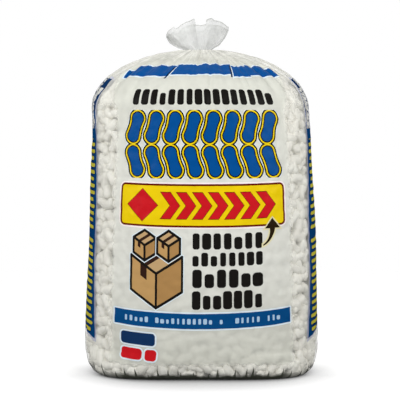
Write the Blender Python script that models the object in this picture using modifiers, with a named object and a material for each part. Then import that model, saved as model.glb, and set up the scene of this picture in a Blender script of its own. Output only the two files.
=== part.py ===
"""A clear poly-film bag full of loose-fill packing peanuts, standing on its base with a tied neck.

Metres, +Z up. The origin is the middle of the flat base, and the broad printed panel faces -Y.
The film is one piece, from the flat base to the ruffled mouth above the tie.
"""

import math

import bmesh
import bpy
import numpy as np

# The filled body
BAG_WIDTH = 0.636
BAG_DEPTH = 0.490
SHOULDER_WIDTH = 0.588
SHOULDER_DEPTH = 0.424
SHOULDER_HEIGHT = 0.697
DOME_RISE = 0.159
BODY_SQUARENESS = 2.9

# The flat base and the rounded edge above it
BASE_INSET = 0.052
EDGE_HEIGHT = 0.088
BASE_SQUARENESS = 5.0

# The funnel round the tied neck
CREST_RADIUS = 0.062
FUNNEL_DEPTH = 0.027
NECK_RADIUS = 0.020
NECK_LENGTH = 0.011

# The ruffled film above the neck
TUFT_WIDTH = 0.156
TUFT_DEPTH = 0.080
TUFT_HEIGHT = 0.086
TUFT_OFFSET = -0.0125
RUFFLE_DEPTH = 0.011
RUFFLES = 7
RAGGED_DEPTH = 0.020

# The film
FILM_THICKNESS = 0.00015
SWELL_DEPTH = 0.0045
PLEAT_SHARE = 0.42
GUSSET_CREASE = 0.005
CORNER_FOLD = 0.006
CORNER_FOLD_SPREAD = 0.075

# The loose fill
FILL_CLEARANCE = 0.0005
FILL_LUMP = 0.020
LUMP_UNEVENNESS = 0.25
FILL_HOLLOW = 0.012
FILL_SEED = 7

# The strap tie
TIE_CLEARANCE = 0.0003
TIE_THICKNESS = 0.0013
TIE_WIDTH = 0.0048
TIE_HEAD_WIDTH = 0.0075
TIE_HEAD_DEPTH = 0.0055
TIE_HEAD_HEIGHT = 0.0065
TIE_HEAD_BEVEL = 0.0008

# How finely the shapes are divided
SIDES = 56
EDGE_RINGS = 4
WALL_RINGS = 11
DOME_RINGS = 8
FUNNEL_RINGS = 3
TUFT_RINGS = 6
TIE_STEPS = 48
SECTION_STEPS = 720

CREST_HEIGHT = SHOULDER_HEIGHT + DOME_RISE
NECK_HEIGHT = CREST_HEIGHT - FUNNEL_DEPTH


def clear_scene():
    for thing in list(bpy.data.objects):
        bpy.data.objects.remove(thing, do_unlink=True)


def new_collection(name):
    collection = bpy.data.collections.new(name)
    bpy.context.scene.collection.children.link(collection)
    return collection


def make_material(name, colour, roughness, alpha=1.0):
    material = bpy.data.materials.new(name)
    material.use_nodes = True
    shader = material.node_tree.nodes["Principled BSDF"]
    shader.inputs["Base Color"].default_value = (*colour, 1.0)
    shader.inputs["Roughness"].default_value = roughness
    shader.inputs["Metallic"].default_value = 0.0
    shader.inputs["Alpha"].default_value = alpha
    return material


def new_object(name, mesh, material, collection):
    piece = bpy.data.objects.new(name, mesh)
    mesh.materials.append(material)
    collection.objects.link(piece)
    return piece


def lerp(start, end, share):
    return start + (end - start) * share


def even_section(half_width, half_depth, squareness):
    """SIDES points, evenly spaced from +X round a section between an ellipse and a rectangle."""
    turn = np.linspace(0.0, 2.0 * math.pi, SECTION_STEPS + 1)
    across = np.abs(np.cos(turn) / half_width) ** squareness
    along = np.abs(np.sin(turn) / half_depth) ** squareness
    radius = (across + along) ** (-1.0 / squareness)
    x = radius * np.cos(turn)
    y = radius * np.sin(turn)
    walked = np.concatenate([[0.0], np.cumsum(np.hypot(np.diff(x), np.diff(y)))])
    stops = np.linspace(0.0, walked[-1], SIDES, endpoint=False)
    return np.interp(stops, walked, x), np.interp(stops, walked, y)


def wall_half_sizes(share):
    """Half the width and depth of the wall, from the top of the base edge, 0, to the shoulder, 1."""
    half_width = lerp(BAG_WIDTH, SHOULDER_WIDTH, share**1.25) / 2
    half_depth = lerp(BAG_DEPTH, SHOULDER_DEPTH, share**2) / 2
    return half_width, half_depth


def body_stations():
    """Height, half width, half depth, squareness and gather of each ring, from base to crest."""
    edge_width, edge_depth = wall_half_sizes(0.0)
    for step in range(EDGE_RINGS + 1):
        share = step / EDGE_RINGS
        turn = share * math.pi / 2
        inset = BASE_INSET * (1 - math.sin(turn))
        squareness = lerp(BASE_SQUARENESS, BODY_SQUARENESS, share)
        height = EDGE_HEIGHT * (1 - math.cos(turn))
        yield height, edge_width - inset, edge_depth - inset, squareness, 0.0
    for step in range(1, WALL_RINGS + 1):
        share = step / WALL_RINGS
        height = lerp(EDGE_HEIGHT, SHOULDER_HEIGHT, share)
        yield height, *wall_half_sizes(share), BODY_SQUARENESS, 0.0
    top_width, top_depth = wall_half_sizes(1.0)
    last_turn = math.acos(CREST_RADIUS / top_width)
    for step in range(1, DOME_RINGS + 1):
        share = step / DOME_RINGS
        turn = last_turn * share
        height = SHOULDER_HEIGHT + DOME_RISE * math.sin(turn)
        half_width = top_width * math.cos(turn)
        half_depth = lerp(top_depth * math.cos(turn), CREST_RADIUS, share**3)
        yield height, half_width, half_depth, lerp(BODY_SQUARENESS, 2.0, share), share


def funnel_stations():
    """The film turns over the crest, runs down to the tie and stands up through it."""
    crest = SHOULDER_HEIGHT + DOME_RISE * math.sin(math.acos(CREST_RADIUS / SHOULDER_WIDTH * 2))
    for step in range(1, FUNNEL_RINGS + 1):
        share = step / FUNNEL_RINGS
        radius = lerp(CREST_RADIUS, NECK_RADIUS, share)
        height = lerp(crest, NECK_HEIGHT, math.sin(share * math.pi / 2) ** 2)
        yield height, radius, radius, 2.0, 1.0
    yield NECK_HEIGHT + NECK_LENGTH, NECK_RADIUS, NECK_RADIUS, 2.0, 1.0


def tuft_stations():
    """The film above the tie, which opens to a flattened mouth."""
    for step in range(1, TUFT_RINGS + 1):
        share = step / TUFT_RINGS
        opened = math.sin(share * math.pi / 2)
        height = NECK_HEIGHT + NECK_LENGTH + (TUFT_HEIGHT + FUNNEL_DEPTH - NECK_LENGTH) * share
        half_width = lerp(NECK_RADIUS, TUFT_WIDTH / 2, opened)
        half_depth = lerp(NECK_RADIUS, TUFT_DEPTH / 2, opened)
        yield height, half_width, half_depth, 2.0, 1.0


def add_ring(bm, station):
    height, half_width, half_depth, squareness, _ = station
    ring = bmesh.ops.create_circle(bm, segments=SIDES, radius=half_width)["verts"]
    for vertex, x, y in zip(ring, *even_section(half_width, half_depth, squareness)):
        vertex.co = (x, y, height)
    return ring


def loft(bm, rings):
    for lower, upper in zip(rings, rings[1:]):
        for side in range(SIDES):
            after = (side + 1) % SIDES
            bm.faces.new((lower[side], lower[after], upper[after], upper[side]))


def swell(side, height):
    """The broad waves in a film pressed out by its fill. Even turns keep the two faces level."""
    turn = 2 * math.pi * side / SIDES
    rise = height / SHOULDER_HEIGHT
    return (
        0.5 * math.sin(2 * turn + 5.0 * rise)
        + 0.3 * math.sin(6 * turn - 9.0 * rise + 1.0)
        + 0.2 * math.sin(10 * turn + 14.0 * rise + 2.0)
    )


def near_corner(point):
    """How near a point is to one of the four folded corners at the base, from 0 to 1."""
    half_width, half_depth = wall_half_sizes(0.0)
    corner_x = half_width - BASE_INSET
    corner_y = half_depth - BASE_INSET
    away = math.hypot(abs(point.x) - corner_x, abs(point.y) - corner_y, point.z - BASE_INSET)
    return math.exp(-((away / CORNER_FOLD_SPREAD) ** 2))


def relieve_body(bm, rings, stations, inset=0.0):
    """Moves each ring along its normals, into waves, gusset creases, corner folds and pleats.

    Folds run along every second column. An inset surface lies below the bottom of them all.
    """
    bm.normal_update()
    moves = []
    for ring, (height, half_width, half_depth, _, gather) in zip(rings, stations):
        spacing = math.pi * (half_width + half_depth) / SIDES
        free = min(1.0, height / EDGE_HEIGHT) * (1 - gather)
        for side, vertex in enumerate(ring):
            amount = SWELL_DEPTH * free * swell(side, height)
            if side % (SIDES // 2) == 0:
                amount -= GUSSET_CREASE * free
            if side % 2 or inset:
                amount -= PLEAT_SHARE * spacing * gather
                amount -= CORNER_FOLD * near_corner(vertex.co) * (height > 0)
            moves.append((vertex, vertex.normal * (amount - inset)))
    for vertex, move in moves:
        vertex.co += move


def ruffle_tuft(rings):
    """Folds the film above the tie into ruffles that deepen towards its uneven edge."""
    for step, ring in enumerate(rings, start=1):
        share = step / len(rings)
        for side, vertex in enumerate(ring):
            turn = 2 * math.pi * side / SIDES
            ruffle = math.sin(RUFFLES * turn + 0.8 * math.sin(2 * turn))
            pleat = PLEAT_SHARE * (side % 2) * (TUFT_WIDTH + TUFT_DEPTH) / SIDES
            radius = math.hypot(vertex.co.x, vertex.co.y)
            stretch = 1 + share * (RUFFLE_DEPTH * ruffle - pleat) / radius
            vertex.co.x = vertex.co.x * stretch + TUFT_OFFSET * share
            vertex.co.y *= stretch
            ragged = 0.5 + 0.3 * math.sin(3 * turn + 0.6) + 0.2 * math.sin(7 * turn)
            vertex.co.z -= RAGGED_DEPTH * ragged * share


def finish_mesh(bm, name):
    """Fixes how the four-sided faces are split, so that nested surfaces split alike."""
    quads = [face for face in bm.faces if len(face.verts) == 4]
    bmesh.ops.triangulate(bm, faces=quads, quad_method="FIXED")
    mesh = bpy.data.meshes.new(name)
    bm.to_mesh(mesh)
    bm.free()
    mesh.shade_smooth()
    return mesh


def make_film(collection):
    """The bag itself: one film surface from the flat base to the mouth, with a thin wall."""
    bm = bmesh.new()
    stations = [*body_stations(), *funnel_stations()]
    body_rings = [add_ring(bm, station) for station in stations]
    tuft_rings = [add_ring(bm, station) for station in tuft_stations()]
    bm.faces.new(list(reversed(body_rings[0])))
    loft(bm, body_rings + tuft_rings)
    relieve_body(bm, body_rings, stations)
    ruffle_tuft(tuft_rings)
    mesh = finish_mesh(bm, "film_bag")
    material = make_material("clear_film", (0.86, 0.86, 0.84), 0.22, alpha=0.35)
    film = new_object("film_bag", mesh, material, collection)
    wall = film.modifiers.new("film wall", "SOLIDIFY")
    wall.thickness = FILM_THICKNESS
    wall.offset = -1.0


def split_between(bm, lower, upper):
    """Adds a ring halfway between two lofted rings."""
    between = []
    for low, high in zip(lower, upper):
        upright = bm.edges.get((low, high))
        between.append(bmesh.utils.edge_split(upright, low, 0.5)[1])
    for vertex, after in zip(between, between[1:] + between[:1]):
        (face,) = set(vertex.link_faces) & set(after.link_faces)
        bmesh.utils.face_split(face, vertex, after)
    return between


def leave_lumps(bm, rings):
    """Presses the wall in between lumps, whose crests are a column apart from ring to ring."""
    crests = {vertex for level, ring in enumerate(rings) for vertex in ring[level % 2 :: 2]}
    wall = [vertex for ring in rings[1:-1] for vertex in ring]
    for lower, upper in zip(rings, rings[1:]):
        wall += split_between(bm, lower, upper)
    bm.normal_update()
    random = np.random.default_rng(FILL_SEED)
    moves = []
    for vertex in wall:
        reach = 2 * math.hypot(vertex.co.x / BAG_WIDTH, vertex.co.y / BAG_DEPTH)
        depth = FILL_LUMP * min(1.0, vertex.co.z / EDGE_HEIGHT, reach)
        share = LUMP_UNEVENNESS * random.random()
        if vertex not in crests:
            share = 1.0 - share
        moves.append((vertex, vertex.normal * -depth * share))
    for vertex, move in moves:
        vertex.co += move


def make_fill(collection):
    """The loose fill, as one lumpy mass that follows the inside of the film up to the crest."""
    bm = bmesh.new()
    stations = list(body_stations())
    rings = [add_ring(bm, station) for station in stations]
    hollow_height = NECK_HEIGHT - FILL_HOLLOW
    hollow = add_ring(bm, (hollow_height, NECK_RADIUS, NECK_RADIUS, 2.0, 0.0))
    bm.faces.new(list(reversed(rings[0])))
    loft(bm, [*rings, hollow])
    bm.faces.new(hollow)
    clearance = FILM_THICKNESS + FILL_CLEARANCE
    relieve_body(bm, rings, stations, clearance)
    leave_lumps(bm, rings)
    for vertex in rings[0]:
        vertex.co.z = clearance
    mesh = finish_mesh(bm, "peanut_fill")
    material = make_material("foam_peanuts", (0.88, 0.86, 0.80), 0.85)
    new_object("peanut_fill", mesh, material, collection)


def make_tie(collection):
    """A plastic strap drawn tight round the neck, with the small head that grips its end."""
    inner = NECK_RADIUS + TIE_CLEARANCE
    outer = inner + TIE_THICKNESS
    middle = NECK_HEIGHT + NECK_LENGTH / 2
    low, high = middle - TIE_WIDTH / 2, middle + TIE_WIDTH / 2
    bm = bmesh.new()
    outline = [(outer, high), (outer, low), (inner, low), (inner, high)]
    corners = [bm.verts.new((x, 0.0, z)) for x, z in outline]
    for start, end in zip(corners, corners[1:] + corners[:1]):
        bm.edges.new((start, end))
    mesh = bpy.data.meshes.new("neck_tie")
    bm.to_mesh(mesh)
    bm.free()
    material = make_material("tie_plastic", (0.90, 0.90, 0.88), 0.35)
    tie = new_object("neck_tie", mesh, material, collection)
    turned = tie.modifiers.new("strap", "SCREW")
    turned.steps = TIE_STEPS
    turned.render_steps = TIE_STEPS
    turned.use_merge_vertices = True
    turned.merge_threshold = 0.00005

    cutters = new_collection("joined_shapes")
    bm = bmesh.new()
    bmesh.ops.create_cube(bm, size=1.0)
    bmesh.ops.scale(bm, vec=(TIE_HEAD_WIDTH, TIE_HEAD_DEPTH, TIE_HEAD_HEIGHT), verts=bm.verts)
    bmesh.ops.bevel(
        bm,
        geom=list(bm.edges),
        offset=TIE_HEAD_BEVEL,
        segments=2,
        profile=0.5,
        affect="EDGES",
        material=-1,
    )
    centre = (0.0, -(inner + TIE_CLEARANCE + TIE_HEAD_DEPTH / 2), middle)
    bmesh.ops.translate(bm, vec=centre, verts=bm.verts)
    head_mesh = bpy.data.meshes.new("tie_head")
    bm.to_mesh(head_mesh)
    bm.free()
    head = new_object("tie_head", head_mesh, material, cutters)
    head.hide_render = True
    head.display_type = "WIRE"
    join = tie.modifiers.new("head", "BOOLEAN")
    join.operation = "UNION"
    join.object = head


def main():
    clear_scene()
    parts = new_collection("packing_peanut_bag")
    make_film(parts)
    make_fill(parts)
    make_tie(parts)


main()
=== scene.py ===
"""A clear poly-film bag full of foam packing peanuts, as it stands in a plain pale studio."""

import math

import bmesh
import bpy
import numpy as np
from mathutils import Matrix, Vector, kdtree, noise


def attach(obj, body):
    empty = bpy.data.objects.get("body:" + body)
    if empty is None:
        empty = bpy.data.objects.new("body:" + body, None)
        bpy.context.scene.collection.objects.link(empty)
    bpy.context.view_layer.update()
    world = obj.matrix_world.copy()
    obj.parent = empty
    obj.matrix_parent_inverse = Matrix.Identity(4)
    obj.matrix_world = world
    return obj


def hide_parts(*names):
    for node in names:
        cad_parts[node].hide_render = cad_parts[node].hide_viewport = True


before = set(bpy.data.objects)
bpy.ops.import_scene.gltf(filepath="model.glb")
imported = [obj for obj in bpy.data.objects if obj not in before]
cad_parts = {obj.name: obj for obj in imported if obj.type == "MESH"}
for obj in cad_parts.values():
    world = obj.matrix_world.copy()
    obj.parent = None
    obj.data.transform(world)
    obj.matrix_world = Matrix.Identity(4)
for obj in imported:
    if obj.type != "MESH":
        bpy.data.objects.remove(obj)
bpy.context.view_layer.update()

# The film bag
# Blown polyethylene, clear where it is bare and milky under its front print. Its base is folded
# flat and sealed, and its mouth is gathered into pleats, tied, and left to flare above the tie.
BAG_WIDTH = 0.636
BAG_DEPTH = 0.490
SHOULDER_WIDTH = 0.588
SHOULDER_DEPTH = 0.424
SHOULDER_HEIGHT = 0.697
SHOULDER_LEAN = 0.006
LEAN_HEIGHT = 0.75
LEAN_SPREAD = 0.09
DOME_RISE = 0.159
BODY_SQUARENESS = 2.9
BASE_INSET = 0.038
EDGE_HEIGHT = 0.076
BASE_SQUARENESS = 5.0
CREST_RADIUS = 0.062
FUNNEL_DEPTH = 0.027
NECK_RADIUS = 0.0192
NECK_LENGTH = 0.011
NECK_HEIGHT = SHOULDER_HEIGHT + DOME_RISE - FUNNEL_DEPTH
FLAT_WIDTH = 1.89
TURN_STEPS = 1440
FILM_COLUMNS = 360
EDGE_ROWS = 20
WALL_ROWS = 112
DOME_ROWS = 60
FUNNEL_ROWS = 10


def lerp(start, end, share):
    return start + (end - start) * share


def smooth_step(low, high, value):
    share = np.clip((value - low) / (high - low), 0.0, 1.0)
    return share * share * (3 - 2 * share)


def even_section(half_width, half_depth, squareness, shares):
    """Places at even shares of the way round a level section, from the middle of the back."""
    turn = np.linspace(0.5 * math.pi, 2.5 * math.pi, TURN_STEPS + 1)
    across = np.abs(np.cos(turn) / half_width) ** squareness
    along = np.abs(np.sin(turn) / half_depth) ** squareness
    radius = (across + along) ** (-1.0 / squareness)
    x = radius * np.cos(turn)
    y = radius * np.sin(turn)
    walked = np.concatenate([[0.0], np.cumsum(np.hypot(np.diff(x), np.diff(y)))])
    stops = shares * walked[-1]
    return np.interp(stops, walked, x), np.interp(stops, walked, y)


def wall_half_sizes(share):
    half_width = lerp(BAG_WIDTH, SHOULDER_WIDTH, share) / 2
    half_depth = lerp(BAG_DEPTH, SHOULDER_DEPTH, share**2) / 2
    return half_width, half_depth


def edge_row(share):
    edge_width, edge_depth = wall_half_sizes(0.0)
    turn = share * math.pi / 2
    inset = BASE_INSET * (1 - math.sin(turn))
    squareness = lerp(BASE_SQUARENESS, BODY_SQUARENESS, share)
    height = EDGE_HEIGHT * (1 - math.cos(turn))
    return height, edge_width - inset, edge_depth - inset, squareness, 0.0


def wall_row(share):
    height = lerp(EDGE_HEIGHT, SHOULDER_HEIGHT, share)
    return height, *wall_half_sizes(share), BODY_SQUARENESS, 0.0


def dome_row(share):
    top_width, top_depth = wall_half_sizes(1.0)
    turn = math.acos(CREST_RADIUS / top_width) * share
    height = SHOULDER_HEIGHT + DOME_RISE * math.sin(turn)
    half_width = top_width * math.cos(turn)
    half_depth = lerp(top_depth * math.cos(turn), CREST_RADIUS, share**3)
    return height, half_width, half_depth, lerp(BODY_SQUARENESS, 2.0, share), share


def funnel_row(share):
    crest = dome_row(1.0)[0]
    radius = lerp(CREST_RADIUS, NECK_RADIUS, share)
    height = lerp(crest, NECK_HEIGHT, math.sin(share * math.pi / 2) ** 2)
    return height, radius, radius, 2.0, 1.0


def neck_row(share):
    height = NECK_HEIGHT + NECK_LENGTH * share
    return height, NECK_RADIUS, NECK_RADIUS, 2.0, 1.0


def film_rows():
    """Each row of the film below its mouth: height, half width, half depth, squareness, gather."""
    yield edge_row(0.0)
    parts = [
        (edge_row, EDGE_ROWS),
        (wall_row, WALL_ROWS),
        (dome_row, DOME_ROWS),
        (funnel_row, FUNNEL_ROWS),
        (neck_row, 1),
    ]
    for row, count in parts:
        for step in range(1, count + 1):
            yield row(step / count)


rows = list(film_rows())
wall_top = EDGE_ROWS + WALL_ROWS
dome_top = wall_top + DOME_ROWS
row_heights = np.array([row[0] for row in rows])
row_gathers = np.array([row[4] for row in rows])
gathered_by = row_gathers + np.minimum(0.0, row_heights / SHOULDER_HEIGHT - 1)
shares = np.arange(FILM_COLUMNS) / FILM_COLUMNS
turns = 2 * math.pi * (shares + 0.25)


def smooth_film():
    """The film's even form before its folds, one line of places for each row."""
    lines = []
    for height, half_width, half_depth, squareness, _ in rows:
        x, y = even_section(half_width, half_depth, squareness, shares)
        x = x - SHOULDER_LEAN * math.exp(-(((height - LEAN_HEIGHT) / LEAN_SPREAD) ** 2))
        lines.append(np.stack([x, y, np.full_like(x, height)], axis=1))
    return np.stack(lines)


def outward_from(places):
    """The outward direction at each place of the film."""
    around = np.roll(places, -1, axis=1) - np.roll(places, 1, axis=1)
    up = np.gradient(places, axis=0)
    outward = np.cross(around, up)
    return outward / np.linalg.norm(outward, axis=2, keepdims=True)


PLEATS = 52
PLEAT_SEED = 5
PLEAT_JITTER = (-0.40, 0.40)
PLEAT_STARTS = (-0.25, 0.65)
PLEAT_WIDTHS = (0.22, 0.60)
PLEAT_STRENGTHS = (0.35, 1.0)
PLEAT_DRIFTS = (-0.012, 0.012)
PLEAT_LEAD = 0.25
PLEAT_RUN = 0.45
PLEAT_EDGE = 0.3


def pleat_depths():
    """How deep the gathers are at each place: they start unevenly and deepen to the neck."""
    random = np.random.default_rng(PLEAT_SEED)
    middles = (np.arange(PLEATS) + random.uniform(*PLEAT_JITTER, PLEATS)) / PLEATS
    starts = random.uniform(*PLEAT_STARTS, PLEATS)
    widths = random.uniform(*PLEAT_WIDTHS, PLEATS) / PLEATS
    depths = random.uniform(*PLEAT_STRENGTHS, PLEATS)
    drifts = random.uniform(*PLEAT_DRIFTS, PLEATS)
    total = np.zeros((len(rows), FILM_COLUMNS))
    for middle, start, width, depth, drift in zip(middles, starts, widths, depths, drifts):
        path = middle + drift * (1 - row_gathers)
        away = np.abs((shares[None, :] - path[:, None] + 0.5) % 1.0 - 0.5) / width
        valley = np.exp(-2 * away**2) - PLEAT_EDGE * np.exp(-3 * (away - 1.3) ** 2)
        deepened = smooth_step(start - PLEAT_LEAD, start + PLEAT_RUN, gathered_by)
        total += depth * valley * deepened[:, None]
    return total


CORNER_FOLD_SPREAD = 0.075


def corner_share(places):
    """1 at the bag's four lower corners, fading to 0 away from them."""
    half_width, half_depth = wall_half_sizes(0.0)
    away = np.sqrt(
        (np.abs(places[..., 0]) - half_width + BASE_INSET) ** 2
        + (np.abs(places[..., 1]) - half_depth + BASE_INSET) ** 2
        + (places[..., 2] - BASE_INSET) ** 2
    )
    return np.exp(-((away / CORNER_FOLD_SPREAD) ** 2))


SWELL_DEPTH = 0.0036
SWELL_MIDDLE = 0.35
SWELL_WAVES = [(0.5, 2, 5.0, 0.0), (0.3, 6, -9.0, 1.0), (0.2, 10, 14.0, 2.0)]
GUSSET_CREASE = 0.005
GUSSET_WIDTH = 0.012
PLEAT_DEPTH = 0.008
PLEAT_REACH = (-0.2, 0.6)
PLEAT_LEAST = 0.15
CORNER_FOLD = 0.005
CORNER_FOLDS = 58
CORNER_FOLD_SLANT = 60
FLOOR_REACH = 0.012


def folded_film(folds_share):
    """The film with its swell and creases. The fill lies under a form whose folds are filled."""
    places = smooth_film()
    heights = row_heights[:, None]
    girths = np.array([row[1] + row[2] for row in rows])[:, None] / (BAG_WIDTH + BAG_DEPTH) * 2
    free = np.minimum(1.0, heights / EDGE_HEIGHT) * (1 - row_gathers[:, None])
    rise = heights / SHOULDER_HEIGHT
    swell = -SWELL_MIDDLE
    for size, waves, twist, start in SWELL_WAVES:
        swell = swell + size * np.sin(waves * turns + twist * rise + start)
    side = (np.abs(shares - 0.5) - 0.25) * FLAT_WIDTH
    corner_folds = 0.5 + 0.5 * np.sin(CORNER_FOLDS * turns + CORNER_FOLD_SLANT * heights)
    amount = SWELL_DEPTH * free * swell
    amount = amount - GUSSET_CREASE * free * np.exp(-((side / GUSSET_WIDTH) ** 2))
    deepest = smooth_step(*PLEAT_REACH, gathered_by)[:, None] * np.ones(FILM_COLUMNS)
    pleats = lerp(deepest, np.minimum(pleat_depths(), deepest), folds_share)
    amount = amount - PLEAT_DEPTH * pleats * np.minimum(1.0, PLEAT_LEAST + girths)
    off_floor = np.minimum(1.0, heights / FLOOR_REACH)
    corner_folds = lerp(1.0, corner_folds, folds_share)
    amount = amount - CORNER_FOLD * corner_share(places) * corner_folds * off_floor
    return places + outward_from(places) * amount[..., None]


AROUND_JITTER = 0.28
CLIMB_JITTER = 0.3


def scatter(random, places, pitch, depth):
    """Spots under the film, about a pitch apart, with the outward direction at each."""
    outward = outward_from(places)
    climbs = np.linalg.norm(np.diff(places[:dome_top, FILM_COLUMNS // 2], axis=0), axis=1)
    climbed = np.concatenate([[0.0], np.cumsum(climbs)])
    levels = round(climbed[-1] / pitch)
    spots = []
    for level in range(levels):
        height = (level + 0.5) * climbed[-1] / levels
        line = places[round(np.interp(height, climbed, np.arange(dome_top)))]
        around = np.linalg.norm(np.roll(line, -1, axis=0) - line, axis=1).sum()
        count = max(5, round(around / pitch))
        start = random.uniform(0, 1)
        for step in range(count):
            share = (step + start + random.uniform(-AROUND_JITTER, AROUND_JITTER)) / count
            column = round(share * FILM_COLUMNS) % FILM_COLUMNS
            climb = height + random.uniform(-CLIMB_JITTER, CLIMB_JITTER) * pitch
            row = round(np.interp(climb, climbed, np.arange(dome_top)))
            normal = Vector(outward[row, column])
            spots.append((Vector(places[row, column]) - normal * depth, normal))
    return spots


OUTER_PITCH = 0.0285
OUTER_DEPTH = 0.0150
OUTER_SEED = 11
PRESS_DEPTH = 0.0016
PRESS_REACH = 0.014
PRESS_FADE = (0.75, 1.0)
CRUMPLE_DEPTH = 0.0010
CRUMPLE_SCALE = 38.0


def pressed_film(places, spots):
    """The film pushed out by each peanut under it, and crumpled a little all over."""
    tree = kdtree.KDTree(len(spots))
    for index, (spot, outward) in enumerate(spots):
        tree.insert(spot + outward * OUTER_DEPTH, index)
    tree.balance()
    push = np.zeros(places.shape[:2])
    for row, line in enumerate(places):
        for column, place in enumerate(line):
            away = tree.find(place)[2]
            crumple = noise.noise(Vector(place) * CRUMPLE_SCALE)
            push[row, column] = PRESS_DEPTH * math.exp(-((away / PRESS_REACH) ** 2))
            push[row, column] += CRUMPLE_DEPTH * (abs(crumple) * 2 - 0.5)
    push *= np.minimum(1.0, row_heights / FLOOR_REACH)[:, None]
    push *= (1 - smooth_step(*PRESS_FADE, row_gathers))[:, None]
    return places + outward_from(places) * push[..., None]


TUFT_ROWS = 28
TUFT_FLAT_HEIGHT = 0.12
TUFT_FLARE = 0.040
TUFT_SEED = 3
TUFT_FLARE_EASE = 0.8
TUFT_CRUMPLE_DEPTH = 0.0042
TUFT_CRUMPLE_SCALE = 42.0
RUFFLE_DEPTH = 0.012
RUFFLES = 6
FINE_RUFFLES = 13
FINE_RUFFLE_SHARE = 0.30
MOUTH_BACK_DROP = 0.008
MOUTH_LINE = [
    (-0.097, 0.896),
    (-0.078, 0.917),
    (-0.071, 0.909),
    (-0.061, 0.913),
    (-0.041, 0.930),
    (-0.021, 0.934),
    (-0.017, 0.919),
    (0.009, 0.920),
    (0.012, 0.932),
    (0.023, 0.936),
    (0.044, 0.932),
    (0.071, 0.917),
]
MOUTH_OPENING = [(0.0, 0.0), (0.2, 0.16), (0.3, 0.34), (0.4, 0.58), (0.7, 0.85), (1.0, 1.0)]


def flared_mouth(neck_line):
    """The film above the tie: each column opens from the neck to its place on the mouth."""
    mouth_x = np.array([x for x, _ in MOUTH_LINE])
    mouth_z = np.array([z for _, z in MOUTH_LINE])
    opened_at = [share for share, _ in MOUTH_OPENING]
    opened_by = [opening for _, opening in MOUTH_OPENING]
    drop = np.where(np.sin(turns) > 0, MOUTH_BACK_DROP, 0.0)
    middle = (mouth_x[0] + mouth_x[-1]) / 2
    reach = (mouth_x[-1] - mouth_x[0]) / 2
    end_x = middle + reach * np.cos(turns)
    end_y = TUFT_FLARE * np.sin(turns)
    end_z = np.interp(end_x, mouth_x, mouth_z) - drop
    ruffle = np.sin(RUFFLES * turns + 1.3 * np.sin(2 * turns))
    ruffle = ruffle + FINE_RUFFLE_SHARE * np.sin(FINE_RUFFLES * turns + 1)
    noise.seed_set(TUFT_SEED)
    lines = []
    for step in range(1, TUFT_ROWS + 1):
        share = step / TUFT_ROWS
        opening = np.interp(share, opened_at, opened_by)
        x = lerp(neck_line[:, 0], end_x, opening)
        y = lerp(neck_line[:, 1], end_y, share**TUFT_FLARE_EASE) + RUFFLE_DEPTH * ruffle * share
        z = lerp(neck_line[:, 2], end_z, share)
        line = np.stack([x, y, z], axis=1)
        for place in line:
            crumple = noise.noise_vector(Vector(place) * TUFT_CRUMPLE_SCALE)
            place += np.array(crumple) * TUFT_CRUMPLE_DEPTH * share
        lines.append(line)
    return np.stack(lines)


fill_form = folded_film(0.0)
fill_random = np.random.default_rng(OUTER_SEED)
outer_spots = scatter(fill_random, fill_form, OUTER_PITCH, OUTER_DEPTH)
film_body = pressed_film(folded_film(1.0), outer_spots)
film_places = np.concatenate([film_body, flared_mouth(film_body[-1])])
front_climb = np.diff(smooth_film()[wall_top:, FILM_COLUMNS // 2], axis=0)
dome_climbs = np.linalg.norm(front_climb, axis=1)
tuft_climbs = TUFT_FLAT_HEIGHT * np.arange(1, TUFT_ROWS + 1) / TUFT_ROWS
flat_heights = np.concatenate([
    row_heights[: wall_top + 1],
    SHOULDER_HEIGHT + np.cumsum(dome_climbs),
    SHOULDER_HEIGHT + dome_climbs.sum() + tuft_climbs,
])
row_lengths = np.array([
    np.linalg.norm(np.roll(line, -1, axis=0) - line, axis=1).sum() for line in smooth_film()
])


def on_flat_film(x, z):
    """Where a place on the front of the full bag lies on the flat film."""
    heights = row_heights[:dome_top]
    girth = float(np.interp(z, heights, row_lengths[:dome_top]))
    return x * FLAT_WIDTH / girth, float(np.interp(z, heights, flat_heights[:dome_top]))


PRINT_TOP = 1.00
FRONT_REACH = 0.300
SIDE_REACH = 0.64
FRONT_SLOT = 1
SIDE_SLOT = 2
TUFT_SLOT = 3
WELD_DISTANCE = 0.00001
RIM_TOP = 0.001


def make_piece(name, bm):
    """Turns a finished bmesh into a smooth piece of the scene."""
    mesh = bpy.data.meshes.new(name)
    bm.to_mesh(mesh)
    bm.free()
    mesh.shade_smooth()
    piece = bpy.data.objects.new(name, mesh)
    bpy.context.scene.collection.objects.link(piece)
    return piece


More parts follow.
